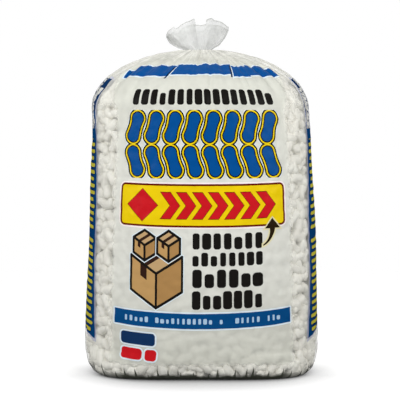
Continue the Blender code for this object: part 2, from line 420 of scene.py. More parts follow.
def make_film():
    """Bends a flat grid into the bag, welds its back seam and closes its folded base."""
    bm = bmesh.new()
    flat_film = bm.loops.layers.uv.new("flat_film")
    grid = bmesh.ops.create_grid(
        bm, x_segments=FILM_COLUMNS, y_segments=len(film_places) - 1, size=0.5
    )["verts"]
    flat_places = {}
    for index, vertex in enumerate(grid):
        row, column = divmod(index, FILM_COLUMNS + 1)
        flat_places[vertex] = ((column / FILM_COLUMNS - 0.5) * FLAT_WIDTH, flat_heights[row])
        vertex.co = film_places[row, column % FILM_COLUMNS]
    for face in bm.faces:
        middle = 0.0
        for loop in face.loops:
            loop[flat_film].uv = flat_places[loop.vert]
            middle += abs(flat_places[loop.vert][0]) / 4
        height = flat_places[face.verts[0]][1]
        if height > PRINT_TOP:
            face.material_index = TUFT_SLOT
        elif middle < SIDE_REACH:
            face.material_index = FRONT_SLOT if middle < FRONT_REACH else SIDE_SLOT
    bmesh.ops.remove_doubles(bm, verts=bm.verts, dist=WELD_DISTANCE)
    rim = [edge for edge in bm.edges if edge.is_boundary and edge.verts[0].co.z < RIM_TOP]
    base = bmesh.ops.holes_fill(bm, edges=rim, sides=0)["faces"]
    bmesh.ops.triangulate(bm, faces=base)
    return make_piece("printed_film_bag", bm)


class Measure:
    """What a node works out at each place of a surface, for use in plain sums."""

    def __init__(self, socket):
        self.socket = socket

    def __add__(self, other):
        return calc("ADD", self, other)

    def __sub__(self, other):
        return calc("SUBTRACT", self, other)

    def __rsub__(self, other):
        return calc("SUBTRACT", other, self)

    def __mul__(self, other):
        return calc("MULTIPLY", self, other)

    def __truediv__(self, other):
        return calc("DIVIDE", self, other)

    def __floordiv__(self, other):
        return calc("FLOOR", self / other)

    def __mod__(self, other):
        return calc("FLOORED_MODULO", self, other)

    def __lt__(self, other):
        return calc("LESS_THAN", self, other)

    def __gt__(self, other):
        return calc("GREATER_THAN", self, other)

    def __neg__(self):
        return calc("MULTIPLY", self, -1.0)

    def __abs__(self):
        return calc("ABSOLUTE", self)


def feed(socket, source):
    """Feeds an input with a number, a colour, a measure or another node's output."""
    if isinstance(source, Measure):
        source = source.socket
    if isinstance(source, bpy.types.NodeSocket):
        socket.id_data.links.new(source, socket)
    elif source is not None:
        socket.default_value = source


def add_node(tree, kind, *sources, **settings):
    """Adds a node, sets it and feeds its inputs in order."""
    node = tree.nodes.new(kind)
    for name, value in settings.items():
        setattr(node, name, value)
    for socket, source in zip(node.inputs, sources):
        feed(socket, source)
    return node


def tree_of(sources):
    """The node tree that the measures among some sources belong to."""
    return next(source.socket.id_data for source in sources if isinstance(source, Measure))


def take(tree, kind, *sources, output=0, **settings):
    """Adds a node and takes one of its outputs."""
    return Measure(add_node(tree, kind, *sources, **settings).outputs[output])


def calc(operation, *sources):
    return take(tree_of(sources), "ShaderNodeMath", *sources, operation=operation)


def larger(*sources):
    return calc("MAXIMUM", *sources)


def smaller(*sources):
    return calc("MINIMUM", *sources)


def vector_calc(operation, *sources, output="Vector"):
    kind = "ShaderNodeVectorMath"
    return take(tree_of(sources), kind, *sources, output=output, operation=operation)


def length(vector):
    return vector_calc("LENGTH", vector, output="Value")


def split(vector):
    """The first two parts of a vector."""
    parts = add_node(tree_of([vector]), "ShaderNodeSeparateXYZ", vector).outputs
    return Measure(parts[0]), Measure(parts[1])


def join(x, y, z=0.0):
    return take(tree_of([x, y]), "ShaderNodeCombineXYZ", x, y, z)


def ramp(source, low, high, start, end):
    """Goes evenly from start to end while its source goes from low to high."""
    return take(tree_of([source]), "ShaderNodeMapRange", source, low, high, start, end)


def cloudy(place, scale, detail, roughness):
    """A soft uneven pattern from 0 to 1."""
    return take(tree_of([place]), "ShaderNodeTexNoise", place, None, scale, detail, roughness)


def wavy(along, scale, detail, roughness):
    """A soft uneven line from 0 to 1, along one direction."""
    sources = (None, along, scale, detail, roughness)
    return take(tree_of([along]), "ShaderNodeTexNoise", *sources, noise_dimensions="1D")


def chances(*sources, **settings):
    """Three numbers drawn by chance, the same ones wherever the sources are the same."""
    tree = tree_of(sources)
    colour = add_node(tree, "ShaderNodeTexWhiteNoise", *sources, **settings).outputs["Color"]
    parts = add_node(tree, "ShaderNodeSeparateColor", colour).outputs
    return [Measure(part) for part in parts]


def new_group(name, inputs, outputs):
    """An empty node group, with its named inputs and the sockets that take its results."""
    group = bpy.data.node_groups.new(name, "ShaderNodeTree")
    for label, kind in inputs:
        group.interface.new_socket(label, in_out="INPUT", socket_type=f"NodeSocket{kind}")
    for label in outputs:
        group.interface.new_socket(label, in_out="OUTPUT", socket_type="NodeSocketFloat")
    given = group.nodes.new("NodeGroupInput").outputs
    results = group.nodes.new("NodeGroupOutput").inputs
    return group, [Measure(socket) for socket in given[: len(inputs)]], results


def use_group(group, *sources):
    """Places a group and returns its results."""
    node = add_node(tree_of(sources), "ShaderNodeGroup", *sources, node_tree=group)
    results = [Measure(socket) for socket in node.outputs]
    return results if len(results) > 1 else results[0]


def bar_group():
    """How far a place is outside a bar with rounded corners."""
    inputs = [("Place", "Vector"), ("Middle", "Vector"), ("Half", "Vector"), ("Corner", "Float")]
    group, given, results = new_group("rounded_bar", inputs, ["Distance"])
    place, bar_middle, half, corner = given
    offset = vector_calc("ABSOLUTE", vector_calc("SUBTRACT", place, bar_middle))
    inset = join(corner, corner, 1.0)
    x, y = split(vector_calc("ADD", vector_calc("SUBTRACT", offset, half), inset))
    outside = length(join(larger(x, 0.0), larger(y, 0.0)))
    inside = smaller(larger(x, y), 0.0)
    feed(results[0], outside + inside - corner)
    return group


SHORT_SHARE = 0.28
SHORTER_BY = 0.12
BLOCK_ROUNDING = (0.22, 0.7)


def block_row_group():
    """A row of printed blocks of uneven width, with some of them left out."""
    inputs = [
        ("Place", "Vector"),
        ("Start", "Vector"),
        ("Size", "Vector"),
        ("Count", "Float"),
        ("Gap", "Float"),
        ("Left Out", "Float"),
        ("Seed", "Float"),
    ]
    group, given, results = new_group("block_row", inputs, ["Distance"])
    place, start, size, count, gap, left_out, seed = given
    x, y = split(vector_calc("SUBTRACT", place, start))
    width, height = split(size)
    pitch = width / count
    cell = x // pitch
    width_chance, gone_chance, short_chance = chances(join(cell, seed))
    half_width = (pitch - gap * (width_chance + 0.5)) * 0.5
    half_height = height * ((short_chance > 1 - SHORT_SHARE) * -SHORTER_BY + 0.5)
    spot = join(x - (cell + 0.5) * pitch, y - half_height)
    corner = smaller(height * BLOCK_ROUNDING[0], half_width * BLOCK_ROUNDING[1])
    bar = use_group(rounded_bar, spot, (0, 0, 0), join(half_width, half_height), corner)
    half_count = count * 0.5
    past_end = abs(cell + 0.5 - half_count) > half_count
    feed(results[0], bar + larger(past_end, gone_chance < left_out))
    return group


WAIST_REACH = 0.7
WAIST_SOFTNESS = 0.5


def peanut_mark_group():
    """How far a place is outside a peanut's outline, which lies along Y."""
    inputs = [("Place", "Vector"), ("Half Length", "Float"), ("Radius", "Float"), ("Waist", "Float")]
    group, given, results = new_group("peanut_mark", inputs, ["Distance"])
    place, half_length, radius, waist = given
    x, y = split(place)
    along = abs(y)
    on_spine = smaller(along, half_length)
    away = length(join(x, along - on_spine))
    to_waist = 1.0 - on_spine / half_length
    pinch = waist * calc("SMOOTH_MIN", to_waist, WAIST_REACH, WAIST_SOFTNESS)
    feed(results[0], away - (radius - pinch))
    return group


SLANT_SIN = 0.5
SLANT_COS = 0.866
TAPE_ACROSS = 0.433
TAPE_DOWN = 0.375
TAPE_HALF_WIDTH = 0.095
TAPE_END = 0.34


def carton_group():
    """A box drawn at a slant: its outline, its line work and which of its faces a place is on."""
    inputs = [("Place", "Vector"), ("Middle", "Vector"), ("Radius", "Float")]
    outputs = ["Outline", "Line", "Top", "Right", "Tape"]
    group, (place, carton_middle, radius), results = new_group("drawn_carton", inputs, outputs)
    x, y = split(vector_calc("SUBTRACT", place, carton_middle))
    across = abs(x)
    slant = across * SLANT_SIN + abs(y) * SLANT_COS
    outline = larger(across, slant) - radius * SLANT_COS
    ridge = y * SLANT_COS - across * SLANT_SIN
    line = smaller(smaller(abs(ridge), larger(across, y)), abs(outline))
    on_top = ridge > 0.0
    past_front = y * SLANT_COS - x * SLANT_SIN
    past_left = x * -SLANT_COS
    tape_half = radius * TAPE_HALF_WIDTH
    on_lid = on_top * (abs(past_front - radius * TAPE_ACROSS) < tape_half)
    high = ridge > radius * -TAPE_END
    hanging = (high - on_top) * (abs(past_left - radius * TAPE_DOWN) < tape_half)
    for socket, result in zip(results, (outline, line, on_top, x > 0.0, larger(on_lid, hanging))):
        feed(socket, result)
    return group


STREAK_STRETCH = (95.0, 7.0, 1.0)
STREAK_GRAIN = (1.0, 3.0, 0.55)
STREAK_HEIGHT = 1.6
STREAK_SHEEN = (0.45, 0.75)
CRUMPLE_GRAIN = (30.0, 4.0, 0.6)
CRUMPLE_BRIGHT = (0.40, 0.62)
GATHERED_REACH = (0.70, 0.90)


def film_folds_group():
    """Fine crumpling: streaks that run to the neck where the film gathers, creases elsewhere. Near
    the neck the crumples are milkier and the streaks carry painted sheen.
    """
    inputs = [("Flat Place", "Vector"), ("Place", "Vector"), ("Streaks", "Float")]
    group, given, results = new_group("film_folds", inputs, ["Height", "Haze_And_Sheen"])
    flat_place, place, streak_share = given
    _, v = split(flat_place)
    streaks = cloudy(vector_calc("MULTIPLY", flat_place, STREAK_STRETCH), *STREAK_GRAIN)
    crumple = cloudy(place, *CRUMPLE_GRAIN)
    creases = 0.5 - abs(crumple - 0.5)
    gather = ramp(v, *GATHERED_REACH, 0.0, 1.0)
    drawn = gather * streak_share
    feed(results[0], creases * (1.0 - drawn) + streaks * (drawn * STREAK_HEIGHT))
    # Painted sheen: the streaks are laid whiter, as if they caught the lamps; the crumples are
    # milkier film.
    streak_sheen = ramp(streaks, *STREAK_SHEEN, 0.0, 1.0)
    blotch = ramp(crumple, *CRUMPLE_BRIGHT, 0.0, 0.5)
    haze_and_sheen = streak_sheen * (streak_share * 0.5) + blotch
    feed(results[1], (haze_and_sheen + 0.5) * gather)
    return group


# Painted shade along the film's base: dark nicks between the lowest peanuts and a dark foot line.
TUCK_PITCH = 0.031
TUCK_JITTER = 0.6
TUCK_LEAST = 0.016
TUCK_RISE = 0.034
TUCK_HALF_WIDTH = 0.0056
FOOT_GRAIN = (24.0, 2.0, 0.5)
FOOT_WANDER = 0.030
FOOT_SHADE = (-0.003, 0.008)
FOOT_CORNER = 0.190
FOOT_CORNER_REACH = 0.075
FOOT_CORNER_SHADE = 0.30


def base_tuck_shadows_group():
    """Painted shade: dark nicks and a dark foot, where the film tucks in under the lowest peanuts,
    lighter at the lifted corners.
    """
    group, (flat_place,), results = new_group("base_tuck_shadows", [("Flat Place", "Vector")], ["Mask"])
    u, v = split(flat_place)
    cell = u // TUCK_PITCH
    place_chance, height_chance, _ = chances(None, cell, noise_dimensions="1D")
    middle = cell + place_chance * TUCK_JITTER + (1 - TUCK_JITTER) / 2
    away = abs(u - middle * TUCK_PITCH)
    narrowing = 1.0 - v / (height_chance * TUCK_RISE + TUCK_LEAST)
    nick = away < narrowing * TUCK_HALF_WIDTH
    risen = v - cloudy(flat_place, *FOOT_GRAIN) * FOOT_WANDER
    shade = ramp(risen, *FOOT_SHADE, 1.0, 0.0)
    from_side = abs(abs(u) - FLAT_WIDTH / 4)
    from_corner = abs(from_side - FOOT_CORNER)
    lifted = ramp(from_corner, 0.0, FOOT_CORNER_REACH, FOOT_CORNER_SHADE, 1.0)
    feed(results[0], larger(nick, shade * lifted))
    return group


rounded_bar = bar_group()
block_row = block_row_group()
peanut_mark = peanut_mark_group()
drawn_carton = carton_group()
film_folds = film_folds_group()
base_tuck_shadows = base_tuck_shadows_group()


CLEAR_ALPHA = 0.26
INK_ALPHA = 1.0
RIM_REACH = (0.72, 1.0)
RIM_ALPHA = 0.75
RIM_COLOUR = (0.52, 0.53, 0.50)
FILM_COLOUR = (0.90, 0.895, 0.835)
FILM_ROUGHNESS = 0.32
FILM_GLOSS = 0.03
FILM_BUMP = 0.004
FILM_HAZE_AND_SHEEN = 0.45
TUCK_SHADOW_COLOUR = (0.055, 0.060, 0.045)
TUCK_SHADOW_ALPHA = 0.9


def start_material(name, roughness, gloss):
    """A new material, its node tree and its shader."""
    material = bpy.data.materials.new(name)
    material.use_nodes = True
    shader = material.node_tree.nodes["Principled BSDF"]
    shader.inputs["Roughness"].default_value = roughness
    shader.inputs["Specular IOR Level"].default_value = gloss
    return material, material.node_tree, shader


class FilmMaterial:
    """A film material: clear film, then a milky ground, then one ink after another."""

    def __init__(
        self, name, colour=FILM_COLOUR, alpha=CLEAR_ALPHA, streaks=1.0, crumple=0.5, gloss=FILM_GLOSS
    ):
        self.material, self.tree, self.shader = start_material(name, FILM_ROUGHNESS, gloss)
        self.place = take(self.tree, "ShaderNodeUVMap", uv_map="flat_film")
        place = take(self.tree, "ShaderNodeTexCoord", output="Object")
        height, haze_and_sheen = use_group(film_folds, self.place, place, streaks)
        bump = add_node(self.tree, "ShaderNodeBump")
        feed(bump.inputs["Strength"], crumple)
        feed(bump.inputs["Distance"], FILM_BUMP)
        feed(bump.inputs["Height"], height)
        feed(self.shader.inputs["Normal"], bump.outputs["Normal"])
        self.colour = (*colour, 1)
        self.cover = haze_and_sheen * FILM_HAZE_AND_SHEEN + alpha
        facing = take(self.tree, "ShaderNodeLayerWeight", output="Facing")
        self.lay(ramp(facing, *RIM_REACH, 0.0, 1.0), RIM_COLOUR, RIM_ALPHA)
        # Painted shade at the base, laid on every film material.
        self.lay(use_group(base_tuck_shadows, self.place), TUCK_SHADOW_COLOUR, TUCK_SHADOW_ALPHA)

    def lay(self, mask, colour, alpha=INK_ALPHA):
        """Lays a colour over what is there, where the mask is 1."""
        mix = add_node(self.tree, "ShaderNodeMix", mask, data_type="RGBA")
        under, over = [socket for socket in mix.inputs if socket.type == "RGBA"]
        feed(under, self.colour)
        feed(over, (*colour, 1))
        self.colour = next(socket for socket in mix.outputs if socket.type == "RGBA")
        self.cover = larger(self.cover, mask * alpha)

    def ink(self, distance, colour, grow=0.0, alpha=INK_ALPHA):
        """Prints a shape, grown by a margin, in one ink."""
        self.lay(distance < grow, colour, alpha)

    def finish(self):
        feed(self.shader.inputs["Base Color"], self.colour)
        feed(self.shader.inputs["Alpha"], self.cover)
        return self.material


KEYLINE_COLOUR = (0.68, 0.77, 0.83)
KEYLINE_WIDTH = 0.004
BLUE = (0.001, 0.070, 0.272)
YELLOW = (0.80, 0.58, 0.004)
DARK_RED = (0.12, 0.008, 0.002)
RED = (0.56, 0.010, 0.016)
BLACK = (0.008, 0.007, 0.006)
NAVY = (0.006, 0.030, 0.100)


def plate(left, right, bottom, top):
    """Middle and half size, on the flat film, of a rectangle on the front of the full bag."""
    level = (bottom + top) / 2
    left_u, _ = on_flat_film(left, level)
    right_u, _ = on_flat_film(right, level)
    _, bottom_v = on_flat_film(0, bottom)
    _, top_v = on_flat_film(0, top)
    middle = ((left_u + right_u) / 2, (bottom_v + top_v) / 2, 0)
    return middle, ((right_u - left_u) / 2, (top_v - bottom_v) / 2, 0)


def plate_start(left, right, bottom, top):
    """The lower left corner of such a rectangle on the flat film."""
    middle, half = plate(left, right, bottom, top)
    return middle[0] - half[0], middle[1] - half[1], 0


def print_bar(film, corners, corner_radius, *inks):
    """Prints a rounded bar in one or more inks, each with the margin that it grows by."""
    middle, half = plate(*corners)
    distance = use_group(rounded_bar, film.place, middle, half, corner_radius)
    for colour, grow in inks:
        film.ink(distance, colour, grow)


def print_blocks(film, corners, count, gap, left_out, seed, colour):
    """Prints a row of plain blocks, as dense and as dark as a line of type."""
    _, half = plate(*corners)
    size = (2 * half[0], 2 * half[1], 0)
    start = plate_start(*corners)
    row = use_group(block_row, film.place, start, size, count, gap, left_out, seed)
    film.ink(row, colour)


MILK_HALF_WIDTH = 0.249
MILK_SPREAD = 0.6
MILK_BOTTOM = 0.040
MILK_ALPHA = 0.84
MILK_COLOUR = (0.815, 0.82, 0.755)
MILK_PAINTED_SHADE = (0.685, 0.695, 0.615)
MILK_EDGE_GRAIN = (55.0, 2.0, 0.5)
MILK_EDGE_WANDER = 0.026
MILK_EDGE_WIDTH = 0.014
MILK_MOTTLE_GRAIN = (24.0, 3.0, 0.6)
MILK_MOTTLE = (0.35, 0.65)
MILK_THIN = 0.90
MILK_FADE = (0.05, 0.27)
MILK_FOOT = 0.84
MILK_CREST = (0.84, 0.91)
MILK_SHOULDER = (0.50, 0.78)
MILK_SHOULDER_SHADE = 0.70


def lay_milky_ground(film):
    """The front panel: a thin milky white under the print, with a soft uneven edge; painted shade
    darkens it toward the foot and the shoulder.
    """
    u, v = split(film.place)
    half_width = larger(v - SHOULDER_HEIGHT, 0.0) * MILK_SPREAD + MILK_HALF_WIDTH
    past = larger(abs(u) - half_width, MILK_BOTTOM - v)
    past = past + cloudy(film.place, *MILK_EDGE_GRAIN) * MILK_EDGE_WANDER
    ground = ramp(past, 0.0, MILK_EDGE_WIDTH, 1.0, 0.0)
    thin = ramp(cloudy(film.place, *MILK_MOTTLE_GRAIN), *MILK_MOTTLE, MILK_THIN, 1.0)
    foot = ramp(v, *MILK_FADE, MILK_FOOT, 1.0)
    crest = ramp(v, *MILK_CREST, 1.0, 0.0)
    milk = ground * (thin * (foot * crest))
    film.lay(milk, MILK_COLOUR, MILK_ALPHA)
    # Painted shade: the milk is laid darker toward the foot and toward the shoulder, so the panel is
    # brightest at mid height.
    low = ramp(v, *MILK_FADE, 1.0, 0.0)
    high = ramp(v, *MILK_SHOULDER, 0.0, MILK_SHOULDER_SHADE)
    film.lay(milk * larger(low, high), MILK_PAINTED_SHADE, MILK_ALPHA)


PRINT_SAG = 0.268
PRINT_SAG_FADE = 0.40


def sagged_place(film):
    """Where the print lies: toward the foot its lines hang lower in the middle than at the ends."""
    u, v = split(film.place)
    sag = larger(PRINT_SAG - v * PRINT_SAG_FADE, 0.0)
    return join(u, v - u * u * sag)


BAND_CORNERS = (-0.200, 0.212, 0.776, 0.806)
BAND_GRAIN = (11.0, 1.0, 0.5)
BAND_WANDER = 0.008
BAND_TEAR_GRAIN = (26.0, 2.0, 0.6)
BAND_TEAR = 0.018
BAND_LOWERING = 0.006
BAND_TRIM = 0.060
BAND_TRIM_SLOPE = 0.32
BAND_END_SLANT = 0.35
CREASE_SLANT = 0.30
CREASE_HANG = 0.35
CREASE_SHADE = (0.002, 0.016, 0.060)
BAND_STEPS = [(-0.113, -0.006), (0.112, 0.008), (0.176, -0.006)]
BAND_CREASES = BAND_STEPS[:2]
BAND_CREASE = [(0.0, 0.0016, KEYLINE_COLOUR), (-0.0048, 0.0032, CREASE_SHADE)]


def print_top_band(film):
    """A blue band over the shoulder, where the gathered film steps it up and down, with painted
    shade in its creases.
    """
    middle, half = plate(*BAND_CORNERS)
    u, v = split(vector_calc("SUBTRACT", film.place, middle))
    v = v - (wavy(u, *BAND_GRAIN) - 0.5) * BAND_WANDER
    slanted = u - v * CREASE_SLANT
    for crease, step in BAND_STEPS:
        v = v + (slanted > crease) * step
    upper = v > 0.0
    torn = wavy(u, *BAND_TEAR_GRAIN) * upper * BAND_TEAR
    trimmed = larger(abs(u) - (half[0] - BAND_TRIM), 0.0) * upper * BAND_TRIM_SLOPE
    past_top = abs(v) - (torn - trimmed + (half[1] - BAND_LOWERING))
    past_end = abs(u) - v * BAND_END_SLANT - half[0]
    distance = larger(past_top, past_end)
    film.ink(distance, KEYLINE_COLOUR, KEYLINE_WIDTH)
    film.ink(distance, BLUE)
    # Along each crease: a pale line in the keyline white, and beside it a dark line of painted shade
    # in the fold.
    hanging = past_top + v * CREASE_HANG
    for crease, _ in BAND_CREASES:
        for offset, width, colour in BAND_CREASE:
            past_crease = abs(slanted - (crease + offset)) - width
            film.ink(larger(past_crease, hanging), colour)


ROWS_CORNERS = (-0.194, 0.198, 0.521, 0.694)
ROW_PEANUTS = 8
PEANUT_LEAN = math.radians(18)
MARK_SIZE = (0.0230, 0.0152, 0.0034)
MARK_INKS = [
    (KEYLINE_COLOUR, 0.0122),
    (BLACK, 0.0104),
    (YELLOW, 0.0064),
    (BLACK, 0.0030),
    (BLUE, 0.0),
]


def print_peanut_rows(film):
    """Two rows of fat blue peanuts, which lean one way in one row and the other way below."""
    _, half = plate(*ROWS_CORNERS)
    pitch = half[0] * 2 / ROW_PEANUTS
    row_height = half[1]
    u, v = split(vector_calc("SUBTRACT", film.place, plate_start(*ROWS_CORNERS)))
    row = v // row_height
    y = v - (row + 0.5) * row_height
    lean = (row * 2 - 1) * math.tan(PEANUT_LEAN)
    leaned = u - lean * y
    cell = leaned // pitch
    offset = leaned - (cell + 0.5) * pitch
    across = offset * math.cos(PEANUT_LEAN)
    along = y / math.cos(PEANUT_LEAN) + lean * across
    mark = use_group(peanut_mark, join(across, along), *MARK_SIZE)
    off_row = abs(row - 0.5) > 1
    half_count = ROW_PEANUTS / 2
    off_end = abs(cell - (half_count - 0.5)) > half_count
    for colour, grow in MARK_INKS:
        film.ink(mark + off_row + off_end, colour, grow)


PANEL_CORNERS = (-0.2115, 0.2135, 0.3985, 0.508)
PANEL_ROUNDING = 0.013
PINK_EDGE = (0.90, 0.80, 0.78)
PANEL_INKS = [(PINK_EDGE, KEYLINE_WIDTH), (DARK_RED, 0.0), (YELLOW, -0.0050)]
LOZENGE_OFFSET = 0.160
LOZENGE_RADIUS = 0.041
CHEVRON_PITCH = 0.0425
CHEVRON_STROKE = 0.025
CHEVRON_HEIGHT = 0.066
CHEVRON_SLANT = 0.75
CHEVRONS = 7
CHEVRONS_START = -0.094
RED_RIM = 0.0018


def print_panel(film):
    """A yellow panel with a dark red rim, a red lozenge and a run of red chevrons."""
    print_bar(film, PANEL_CORNERS, PANEL_ROUNDING, *PANEL_INKS)
    middle, _ = plate(*PANEL_CORNERS)
    u, v = split(vector_calc("SUBTRACT", film.place, middle))
    height = abs(v)
    lozenge = abs(u + LOZENGE_OFFSET) + height - LOZENGE_RADIUS
    along = u + height * CHEVRON_SLANT - CHEVRONS_START
    stroke = abs(along % CHEVRON_PITCH - CHEVRON_PITCH / 2) - CHEVRON_STROKE / 2
    half_run = CHEVRONS * CHEVRON_PITCH / 2
    past_run = abs(along - half_run) - half_run
    past_height = height - CHEVRON_HEIGHT / 2
    chevron = larger(stroke, larger(past_run, past_height))
    marks = smaller(lozenge, chevron)
    film.ink(marks, DARK_RED, RED_RIM)
    film.ink(marks, RED)


TAN = (0.50, 0.30, 0.115)
PALE_TAN = (0.52, 0.345, 0.17)
DARK_TAN = (0.40, 0.225, 0.080)
TAPE = (0.030, 0.012, 0.008)
CARTON_RADIUS = 0.078
CARTON_STRETCH = 1.14
CARTON_LINE = 0.0030
CARTON_KEYLINE = 0.005
CARTONS_MIDDLE = -0.118
CARTONS_FOOT = 0.190
CARTONS = [(0.0, 1.0, 1.0), (-0.47, 1.80, 0.44), (0.47, 1.80, 0.44)]


def print_cartons(film):
    """One large carton with two small ones on its lid, drawn at a slant in tan and thick lines."""
    squeezed = vector_calc("MULTIPLY", film.place, (1, 1 / CARTON_STRETCH, 1))
    foot_u, foot_v = on_flat_film(CARTONS_MIDDLE, CARTONS_FOOT)
    apothem = CARTON_RADIUS * math.cos(math.pi / 6)
    for across, up, size in CARTONS:
        middle_v = foot_v / CARTON_STRETCH + up * CARTON_RADIUS
        carton_middle = (foot_u + across * apothem, middle_v, 0)
        carton = use_group(drawn_carton, squeezed, carton_middle, CARTON_RADIUS * size)
        outline, line, top, right, tape = carton
        inside = outline < 0.0
        film.ink(outline, KEYLINE_COLOUR, CARTON_KEYLINE)
        film.ink(outline, TAN)
        film.lay(inside * right, DARK_TAN)
        film.lay(inside * top, PALE_TAN)
        film.lay(inside * tape, TAPE)
        film.ink(larger(line, outline), BLACK, CARTON_LINE)


ARROW_MIDDLE = (0.134, 0.392)
ARROW_RADIUS = 0.048
ARROW_STROKE = 0.0072
ARROW_THINNING = 0.13
ARROW_TAIL = 0.022
ARROW_HEAD = 0.021
ARROW_POINT = 0.8
ARROW_BROWN = (0.018, 0.010, 0.003)
PALE_YELLOW = (0.72, 0.66, 0.40)


def print_arrow(film):
    """A short turn of black with a pointed head and a tail that thins away."""
    middle = (*on_flat_film(*ARROW_MIDDLE), 0)
    offset = vector_calc("SUBTRACT", film.place, middle)
    u, v = split(offset)
    ring = abs(length(offset) - ARROW_RADIUS)
    swept = larger(v, ARROW_TAIL - u)
    shaft = larger(ring - (v * ARROW_THINNING + ARROW_STROKE), swept)
    tip = v * ARROW_POINT + abs(u - ARROW_RADIUS) - ARROW_HEAD
    distance = smaller(shaft, larger(tip, -v))
    film.ink(distance, PALE_YELLOW, KEYLINE_WIDTH)
    film.ink(distance, ARROW_BROWN)


TEXT_LEFT = -0.028
TEXT_RIGHT = 0.158
TEXT_GAP = 0.0060
TEXT_SEED = 11
TEXT_LINES = [(0.343, 0.384, 7), (0.300, 0.335, 8), (0.245, 0.292, 6), (0.190, 0.237, 7)]


def print_text_blocks(film):
    """Lines of black blocks beside the cartons, as heavy as large type."""
    for line, (bottom, top, count) in enumerate(TEXT_LINES):
        corners = (TEXT_LEFT, TEXT_RIGHT, bottom, top)
        print_blocks(film, corners, count, TEXT_GAP, 0.0, TEXT_SEED + line, BLACK)


DEEP_BLUE = (0.002, 0.062, 0.205)
PALE_BLUE = (0.40, 0.56, 0.72)
HEADING_CORNERS = (-0.172, 0.188, 0.707, 0.746)
HEADING_BLOCKS = (16, 0.0062, 0.06, 6)
FOOT_BAND_CORNERS = (-0.230, 0.234, 0.140, 0.179)
FOOT_BAND_ROUNDING = 0.0005
FOOT_BLOCKS_CORNERS = (-0.204, 0.206, 0.1520, 0.1665)
FOOT_BLOCKS = (30, 0.0064, 0.12, 5)
FOOT_MARK_ROUNDING = 0.009
FOOT_MARKS = [
    ((-0.212, -0.120, 0.091, 0.123), NAVY),
    ((-0.212, -0.155, 0.052, 0.081), RED),
    ((-0.147, -0.117, 0.052, 0.081), RED),
]


def front_film():
    """The milky front panel with all that is printed on it, from the shoulder to the foot."""
    film = FilmMaterial("front_film")
    keyline = (KEYLINE_COLOUR, KEYLINE_WIDTH)
    lay_milky_ground(film)
    film.place = sagged_place(film)
    print_top_band(film)
    print_blocks(film, HEADING_CORNERS, *HEADING_BLOCKS, BLACK)
    print_peanut_rows(film)
    print_panel(film)
    print_cartons(film)
    print_text_blocks(film)
    print_arrow(film)
    print_bar(film, FOOT_BAND_CORNERS, FOOT_BAND_ROUNDING, keyline, (DEEP_BLUE, 0.0))
    print_blocks(film, FOOT_BLOCKS_CORNERS, *FOOT_BLOCKS, PALE_BLUE)
    for corners, colour in FOOT_MARKS:
        print_bar(film, corners, FOOT_MARK_ROUNDING, keyline, (colour, 0.0))
    return film.finish()


SIDE_HALF_WIDTH = 0.173
SIDE_NARROWING = 0.060
SIDE_BLUE = (0.003, 0.050, 0.170)
SIDE_EDGE = 0.008
SIDE_BOTTOM = 0.138
SIDE_TOP = 0.785
SIDE_SLANT = 0.25
SIDE_TAPER = 0.07
SIDE_LEFT_SPREAD = 0.26
SIDE_KEYLINE = (0.007, 0.55)
LAVENDER = (0.55, 0.58, 0.76)
CRUSH_START = 0.69
CRUSH_MIDDLE = 0.700
CRUSH_HALF = 0.055
RAGGED_GRAIN = (90.0, 2.0, 0.6)
RAGGED_SPREAD = (2.6, 0.3)
RAGGED_SHADE = 0.41
SLASH_WIDTH = 0.018
SPECK_GRAIN = (130.0, 2.0, 0.6)
SPECK_SHARE = 0.54
SPECK_ALPHA = 0.8
SPECK_INSET = 0.013
SPECKS_TOP = 0.79
PALE_LIME = (0.56, 0.50, 0.050)
RUNG_PITCH = 0.0180
RUNG_SIZE = (0.134, 0.0046, 0.0)
RUNG_INSET = 0.012
RUNG_SHORTER = 0.007
RUNG_INKS = [(NAVY, 0.0036), (PALE_LIME, 0.0)]
RUNG_GAP_BOTTOM = 0.360
RUNG_GAP = 0.018
RUNGS_BOTTOM = 0.108
RUNGS_TOP = 0.600


